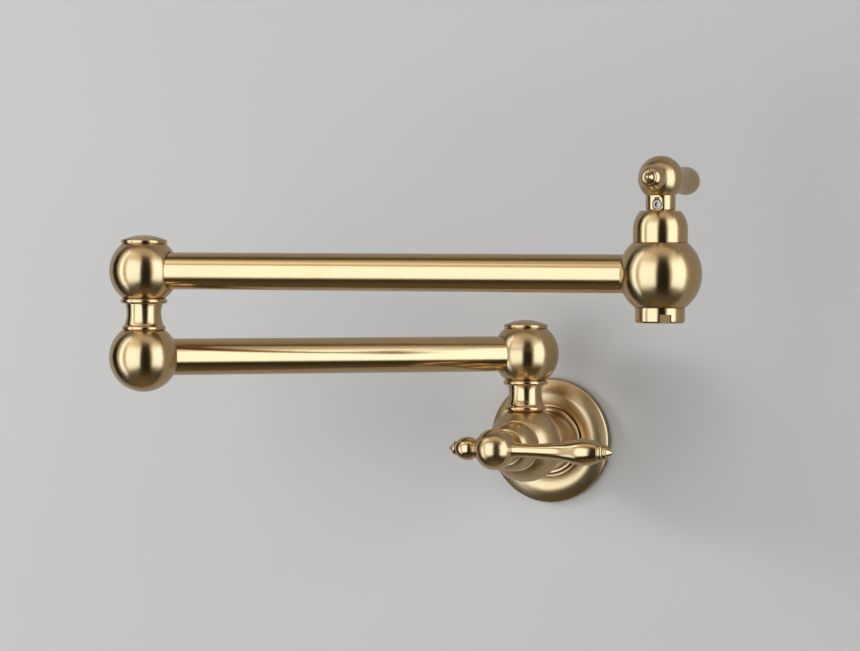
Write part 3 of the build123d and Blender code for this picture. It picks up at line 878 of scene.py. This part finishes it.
wall = wall_sheet("wall", 2.8, (0, 0.0003, 0), plain_surface("pale wall", (0.69, 0.69, 0.685)))
wall.visible_glossy = False
# This copy is seen only in the metal, and its colour is darker than the wall's: painted shade that
# dims the wall's reflections.
near_wall = wall_sheet("wall near the tap", 4, (0.3, 0.0006, 1.5),
                       plain_surface("pale wall in reflections", (0.45, 0.45, 0.445)))
near_wall.visible_camera = False
near_wall.visible_diffuse = False
near_wall.visible_shadow = False

# %% Lamps
NEUTRAL, COOL = (1.0, 1.0, 1.0), (0.68, 1.0, 1.52)
middle_of_tap = Vector((0, -0.2, 0.06))


def soft_box(name, across, level, distance, width, height, strength, on_metal=None):
    """A rectangular lamp that faces the tap. With a colour for on_metal only metal shows it.

    across and level are degrees to the right of straight ahead and up, sizes are in metres.
    """
    a, e = math.radians(across), math.radians(level)
    direction = Vector((math.sin(a) * math.cos(e), -math.cos(a) * math.cos(e), math.sin(e)))
    bpy.ops.object.select_all(action="DESELECT")
    bpy.ops.object.light_add(type="AREA", location=direction * distance + middle_of_tap)
    lamp = bpy.context.object
    lamp.name = name
    lamp.rotation_euler = direction.to_track_quat("Z", "Y").to_euler()
    lamp.data.shape = "RECTANGLE"
    lamp.data.size, lamp.data.size_y = width, height
    lamp.data.energy = strength * math.pi * width * height
    lamp.data.color = on_metal or NEUTRAL
    lamp.visible_camera = False
    lamp.visible_glossy = on_metal is not None
    lamp.visible_diffuse = on_metal is None


soft_box("soft box left", -30, 0, 1.7, 2.2, 1.9, 2.15)
soft_box("soft box right", 74, 4, 1.7, 1.0, 1.6, 2.9)
soft_box("low sun", -63, 15, 2.2, 0.4, 0.4, 19)
soft_box("sheen left", -31, 8, 1.8, 3.2, 3.8, 0.75, NEUTRAL)
soft_box("sheen left, middle", -15, 1, 1.7, 1.5, 2.2, 1.35, COOL)
soft_box("sheen left, edge", -57, 4, 1.7, 0.35, 4.0, 1.7, COOL)
soft_box("sheen right", 76, 6, 1.8, 2.0, 3.0, 0.75, NEUTRAL)
soft_box("sheen right, middle", 73, 4, 1.7, 1.2, 2.2, 1.5, COOL)
soft_box("sheen above", 15, 66, 1.8, 3.0, 0.9, 0.6, NEUTRAL)

# %% World: dark at eye level, warm above and below, and pale where the camera sees past the wall
DARK_ROOM, WARM_ROOM = (0.010, 0.0095, 0.0085, 1), (0.19, 0.16, 0.11, 1)
PALE_ROOM = (0.80, 0.80, 0.80, 1)


class Room(Finish):
    """The world's nodes, added as a material's are."""

    def __init__(self, name):
        world = bpy.data.worlds.new(name)
        world.use_nodes = True
        bpy.context.scene.world = world
        self.tree = world.node_tree


room = Room("studio")
height = room.split(room.node("ShaderNodeTexCoord"))[2]
around = room.node(
    "ShaderNodeBackground", inputs={"Color": room.blend(height ** 6, DARK_ROOM, WARM_ROOM)})
backdrop = room.tree.nodes["Background"]
room.plug(backdrop.inputs["Color"], PALE_ROOM)
seen = room.node("ShaderNodeLightPath", output=CAMERA_RAY)
either = room.node(
    "ShaderNodeMixShader", inputs={0: seen, 1: around, 2: Wire(room, backdrop.outputs[0])})
room.plug(room.tree.nodes["World Output"].inputs["Surface"], either)
bpy.context.scene.view_settings.view_transform = "Standard"
